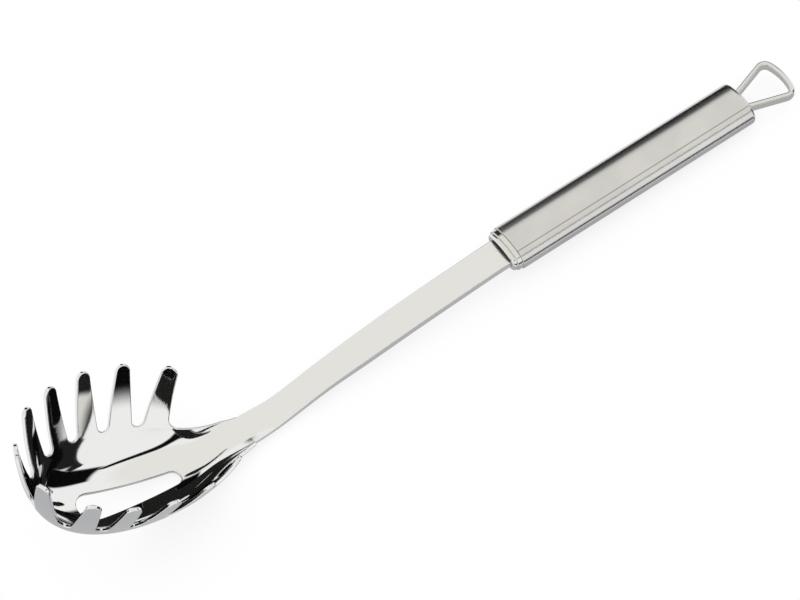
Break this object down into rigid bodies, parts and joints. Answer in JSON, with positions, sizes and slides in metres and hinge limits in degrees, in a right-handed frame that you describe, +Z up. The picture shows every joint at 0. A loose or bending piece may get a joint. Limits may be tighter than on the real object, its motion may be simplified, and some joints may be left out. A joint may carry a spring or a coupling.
{
  "type": "pasta server",
  "caption": "Stainless pasta server: a pressed, tined bowl with a drain slot on a flat neck, a tubular satin handle and a hanging loop.",
  "frame": {"origin": "on the table under the middle of the tool's length, with the tool at rest on its bowl and on the rear of its handle", "axes": "+X along the tool from the bowl to the hanging loop, +Z up out of the bowl, Y across"},
  "size_m": [0.3214, 0.0656, 0.0634],
  "materials": {
    "polished_steel": "mirror-polished stainless steel, satin on the neck",
    "satin_steel": "stainless steel brushed along the handle"
  },
  "bodies": {
    "root": {"head": "polished_steel", "front_cap": "polished_steel", "handle_tube": "satin_steel", "rear_cap": "satin_steel", "hanging_loop": "polished_steel"}
  },
  "joints": []
}
